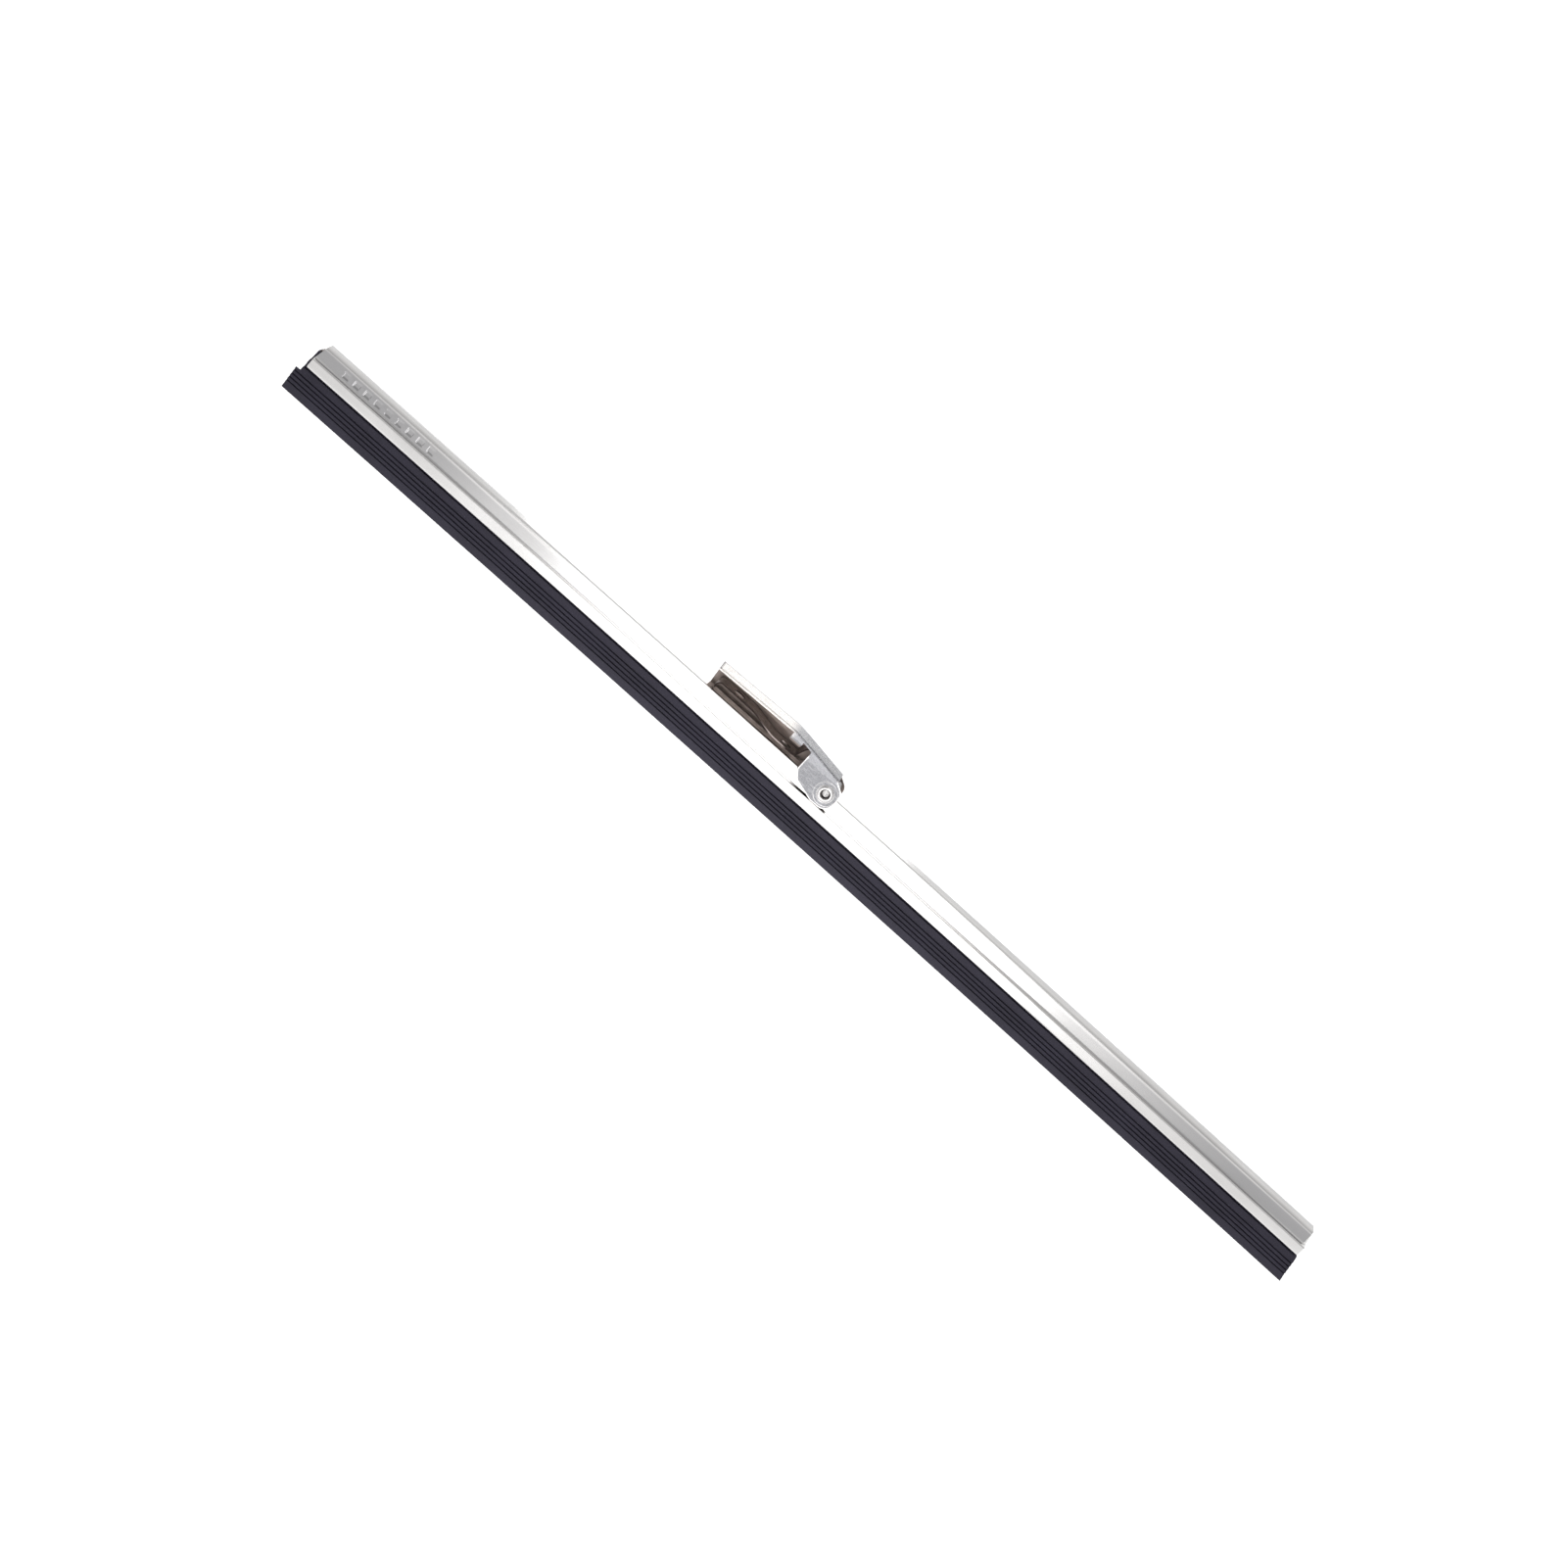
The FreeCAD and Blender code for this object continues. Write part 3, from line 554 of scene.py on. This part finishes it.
def channel_outline():
    drop, crease = 0.45, 0.12
    flange, foot, gap = 3.2, FLANGE_FOOT, 2.15
    outer = [
        (gap, foot, 0.1),
        (flange, foot, 0.4),
        (flange, LEDGE_LOW, 0.3),
        (BAND_HALF_WIDTH, LEDGE_HIGH, 0.2),
        (BAND_HALF_WIDTH, BAND_TOP, 0.6),
    ]
    inner = [
        (BAND_HALF_WIDTH - SHEET, BAND_TOP - SHEET, crease),
        (BAND_HALF_WIDTH - SHEET, LEDGE_HIGH - drop, crease),
        (flange - SHEET, LEDGE_LOW - drop, crease),
        (flange - SHEET, foot + SHEET, crease),
        (gap, foot + SHEET, 0.1),
    ]
    far_outer = [(-c[0],) + c[1:] for c in reversed(outer)]
    far_inner = [(-c[0],) + c[1:] for c in reversed(inner)]
    return outer + far_outer + far_inner + inner


def box_cutter(low, high):
    bm = bmesh.new()
    bmesh.ops.create_cube(bm, size=1.0)
    cutter = new_object("cutter", bm)
    low, high = Vector(low) * MM, Vector(high) * MM
    cutter.matrix_world = Matrix.LocRotScale((low + high) / 2, None, high - low)
    return cutter


def make_channel(material):
    end = FLANGE_HALF_LENGTH
    fine = [(-end, -end + END_ZONE, 0.3), BARS_ZONE, (end - END_ZONE, end, 0.3)]
    places = stations(-end, end, 2.5, fine)
    obj = loft("channel_sheet", rounded(channel_outline(), 0.16), places, channel_shape)
    notch = box_cutter((-1.5, -3.0, 12.35), (1.5, 3.0, 15.0))
    soften(obj, 0.06, cutter=notch, angle=55)
    return place(obj, "blade", "channel_steel", material, "backing_channel")


def rubber_outline():
    soft = 0.09
    pitch, gap, depth, taper = 1.0, 0.22, 0.5, 0.36
    shoulder, shoulder_foot, neck = 2.4, 5.8, 1.95
    lowest = shoulder_foot - gap - pitch * RIB_COUNT
    half = [(0.4, LIFT, soft), (0.98, lowest - gap, soft)]
    for rib in range(RIB_COUNT, -1, -1):
        groove = shoulder_foot - gap - pitch * rib
        outer = shoulder - taper * rib
        half.append((outer - depth - taper / 2, groove, soft))
        half.append((outer, groove + gap, soft))
        if rib == 1:
            half += [
                (outer + 0.033, FAR_STEP - STEP_GUARD, 0.0),
                (outer + 0.039, FAR_STEP + STEP_GUARD, 0.0),
            ]
        if rib:
            half.append((outer + 0.05, groove + pitch - gap, soft))
    half += [
        (shoulder, NEAR_STEP - STEP_GUARD, 0.0),
        (shoulder, NEAR_STEP + STEP_GUARD, 0.0),
        (shoulder, SHOULDER_TOP, 0.12),
        (neck, NECK_FOOT - STEP_GUARD, 0.0),
        (neck, NECK_FOOT + STEP_GUARD, 0.0),
        (neck, 8.4, 0.05),
        (2.6, 8.4, 0.25),
        (2.6, 9.4, 0.2),
        (1.7, 9.9, 0.1),
        (1.7, 11.9, 0.3),
    ]
    return both_sides(half)


def rubber_left_end(y, z):
    """The lip's left end stands straight out, below a step that falls away from the near side."""
    head = FLANGE_HALF_LENGTH + HEAD_STAND_OUT
    step = NEAR_STEP if y < 0 else FAR_STEP
    return -LIP_HALF_LENGTH + 0.02 if z < step else -head + 0.06 * (z - step)


def rubber_right_end(z):
    """The lip's right end is cut aslant, up to a head that ends inside the channel."""
    if z < NECK_FOOT:
        share = z / NECK_FOOT
        return LIP_RIGHT_END + (SHOULDER_RIGHT_END - LIP_RIGHT_END) * share ** 0.9
    return FLANGE_HALF_LENGTH - (0.0 if z < 9.8 else 1.2)


def rubber_shape(x, y, z):
    """Near each end the rings close up towards the end's own outline, and the lip wanders a little."""
    near = RUBBER_END_ZONE
    left, right = -LIP_HALF_LENGTH, LIP_RIGHT_END
    if x < left + near:
        end = rubber_left_end(y, z)
        x = end + (x - left) * (left + near - end) / near
    if x > right - near:
        end = rubber_right_end(z)
        x = end + (x - right) * (end - right + near) / near
    ripple = 0.02 * math.sin(x * 0.21) + 0.015 * math.sin(x * 0.083 + 1.3)
    return x, y + ripple * max(0.0, 1 - z / SHOULDER_TOP), z


def make_rubber(material):
    left, right = -LIP_HALF_LENGTH, LIP_RIGHT_END
    fine = [(left, left + RUBBER_END_ZONE, 0.5), (right - RUBBER_END_ZONE, right, 0.5)]
    places = stations(left, right, 2.5, fine)
    guards = (-STEP_GUARD, STEP_GUARD)
    steps = [(NEAR_STEP + gap, FAR_STEP + gap) for gap in guards]
    steps += [(NECK_FOOT + gap, NECK_FOOT + gap) for gap in guards]
    obj = loft("rubber_strip", rounded(rubber_outline(), 0.4), places, rubber_shape, steps)
    soften(obj, 0.05, segments=2, angle=60)
    return place(obj, "blade", "rubber", material, "squeegee_rubber")


# ---------------------------------------------------------------- the clip


def make_rivet(material):
    """Both rolled heads and the bore, turned as one closed ring section."""
    head, face, bore, mouth, shank = 1.66, EAR_FACE + 0.42, 0.72, 1.12, 1.1
    corners = [
        (EAR_FACE - 0.5, bore, 0.6),
        (face, mouth, 0.14),
        (face, head, 0.3),
        (EAR_FACE, head, 0.08),
        (EAR_FACE, shank, 0.0),
    ]
    profile = rounded(both_sides(corners), 0.3)
    obj = lathe("hollow_rivet", [(p.x, p.y) for p in profile], closed=True)
    shade(obj, 50)
    return place(obj, "clip", "rivet_steel", material, "pivot_rivet")


def ear_ring(side):
    """The faint raised ring that the rivet's setting tool leaves on an ear."""
    out = EAR_FACE
    profile = [
        (out - 0.05, 1.75),
        (out + 0.05, 1.85),
        (out + 0.06, 2.35),
        (out + 0.03, 2.6),
        (out - 0.05, 2.75),
    ]
    return lathe(f"ear_ring_{side}", profile, y_sign=side)


def turn_tab_in(obj):
    """Bends the lower half of the near side's tab in towards the middle."""
    left, right, bend, slope = -13.6, -10.35, 18.15, 0.8
    bm = bmesh.new()
    bm.from_mesh(obj.data)
    geometry = bm.verts[:] + bm.edges[:] + bm.faces[:]
    bmesh.ops.bisect_plane(bm, geom=geometry, plane_co=(0, 0, bend * MM), plane_no=(0, 0, 1), dist=1e-7)
    for vert in bm.verts:
        x, y, z = vert.co / MM
        if left < x < right and y < 0 and z < bend:
            vert.co.y += (bend - z) * slope * MM
    bm.to_mesh(obj.data)
    bm.free()


def make_clip(frame, material):
    obj = copy_of(frame, "clip_body", "clip_shell")
    turn_tab_in(obj)
    soften(obj, 0.2, segments=4, angle=35)
    join(obj, ear_ring(-1), ear_ring(1))
    return place(obj, "clip", "clip_steel", material, "clip_body")


def make_copies(frame, materials):
    """The other folded pieces, from their CAD shapes with softened edges."""
    rows = (
        ("leaf_root", "latch_root", "clip", "spring_steel", 0.06),
        ("leaf_spring", "latch_leaf", "leaf", "spring_steel", 0.06),
        ("pivot_saddle", "saddle_sheet", "blade", "clip_steel", 0.1),
        ("backing_strip", "spine_strip", "blade", "spring_steel", 0.08),
        ("end_stop", "end_plate", "blade", "channel_steel", 0.08),
    )
    for node, name, body, slot, width in rows:
        obj = copy_of(frame, node, name)
        soften(obj, width)
        place(obj, body, slot, materials[slot], node)


# ---------------------------------------------------------------- the studio


def area_light(name, at, towards, size, power, mirrored=True):
    light = bpy.data.lights.new(name, "AREA")
    light.shape = "RECTANGLE"
    light.size, light.size_y = size[0] * MM, size[1] * MM
    light.energy = power
    obj = bpy.data.objects.new(name, light)
    bpy.context.scene.collection.objects.link(obj)
    place_at, aim = Vector(at) * MM, Vector(towards) * MM
    turn = (aim - place_at).to_track_quat("-Z", "Y").to_matrix().to_4x4()
    obj.matrix_world = Matrix.Translation(place_at) @ turn
    obj.visible_camera = False
    obj.visible_glossy = mirrored


def sweep_backdrop():
    """The floor and a low wall behind it, joined by a curve."""
    floor, wall, radius, half, turns = FLOOR_HEIGHT * MM, 2.4, 0.35, 4.0, 12
    line = [(-half, floor), (wall - radius, floor)]
    for k in range(1, turns + 1):
        a = math.pi / 2 * k / turns
        line.append((wall - radius + radius * math.sin(a), floor + radius - radius * math.cos(a)))
    line.append((wall, 0.45))
    bm = bmesh.new()
    left = [bm.verts.new((-half, y, z)) for y, z in line]
    right = [bm.verts.new((half, y, z)) for y, z in line]
    for k in range(len(line) - 1):
        bm.faces.new((left[k], right[k], right[k + 1], left[k + 1]))
    bmesh.ops.recalc_face_normals(bm, faces=bm.faces)
    obj = new_object("floor", bm)
    obj.data.shade_smooth()
    obj.data.materials.append(paper())


def room():
    """A pale grey room, dimmer above the front of the blade."""
    bright, dimmed = 0.8, 0.58
    world = bpy.data.worlds.new("studio")
    bpy.context.scene.world = world
    world.use_nodes = True
    tree = world.node_tree
    background = tree.nodes["Background"]
    background.inputs["Color"].default_value = (1.0, 1.0, 1.0, 1.0)
    where = tree.nodes.new("ShaderNodeTexCoord")
    parts = tree.nodes.new("ShaderNodeSeparateXYZ")
    tree.links.new(where.outputs["Generated"], parts.inputs[0])
    masks = []
    for axis, low, high in (("Y", 0.1, -0.5), ("Z", -0.05, 0.3)):
        mask = tree.nodes.new("ShaderNodeMapRange")
        for socket, number in zip(("From Min", "From Max", "To Min", "To Max"), (low, high, 0.0, 1.0)):
            mask.inputs[socket].default_value = number
        tree.links.new(parts.outputs[axis], mask.inputs["Value"])
        masks.append(mask.outputs["Result"])
    both = tree.nodes.new("ShaderNodeMath")
    both.operation = "MULTIPLY"
    for socket, mask in zip(both.inputs, masks):
        tree.links.new(mask, socket)
    dim = tree.nodes.new("ShaderNodeMapRange")
    for socket, number in zip(("From Min", "From Max", "To Min", "To Max"), (0.0, 1.0, bright, dimmed)):
        dim.inputs[socket].default_value = number
    tree.links.new(both.outputs[0], dim.inputs["Value"])
    tree.links.new(dim.outputs["Result"], background.inputs["Strength"])


def studio():
    room()
    sweep_backdrop()
    # The front boxes lie low, where the near faces of the metal mirror them along the middle of the blade.
    area_light("front_box", (20, -420, -95), (0, 0, 10), (200, 105), 0.11)
    area_light("front_fill", (20, -430, -97), (0, 0, 10), (290, 110), 0.025)
    area_light("front_tall", (10, -420, 455), (10, 0, 455), (220, 900), 0.83)
    # The low box lights the lip from in front and beneath.
    area_light("low_box", (0, -75, -150), (0, 0, 4), (170, 70), 0.06)
    # The back card is what the clip's top plate mirrors.
    area_light("back_card", (0, 1400, 395), (0, 0, 15), (300, 260), 0.30)
    area_light("top_box", (-20, 500, 1700), (0, 500, 0), (3000, 1600), 24.0, mirrored=False)
    area_light("back_box", (0, 1500, 1300), (0, 1900, 0), (3000, 700), 10.0, mirrored=False)


def camera():
    data = bpy.data.cameras.new("camera")
    data.lens = LENS
    data.sensor_width = 36.0
    data.clip_start, data.clip_end = 0.01, 50.0
    obj = bpy.data.objects.new("camera", data)
    bpy.context.scene.collection.objects.link(obj)
    azimuth, elevation, roll = (math.radians(a) for a in (AZIMUTH, ELEVATION, ROLL))
    away = Vector((
        -math.sin(azimuth) * math.cos(elevation), -math.cos(azimuth) * math.cos(elevation), math.sin(elevation)
    ))
    right = (-away).cross(Vector((0, 0, 1))).normalized()
    up = right.cross(-away)
    turned_right = right * math.cos(roll) + up * math.sin(roll)
    turned_up = up * math.cos(roll) - right * math.sin(roll)
    rotation = Matrix((turned_right, turned_up, away)).transposed()
    obj.matrix_world = Matrix.Translation((Vector(AIM) + away * DISTANCE) * MM) @ rotation.to_4x4()
    bpy.context.scene.camera = obj


def main():
    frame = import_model()
    materials = {
        "channel_steel": channel_steel(),
        "clip_steel": clip_steel(),
        "spring_steel": spring_steel(),
        "rivet_steel": rivet_steel(),
        "rubber": rubber(),
    }
    make_channel(materials["channel_steel"])
    make_rubber(materials["rubber"])
    make_rivet(materials["rivet_steel"])
    make_clip(frame, materials["clip_steel"])
    make_copies(frame, materials)
    studio()
    camera()
    bpy.context.scene.view_settings.view_transform = "Standard"


main()
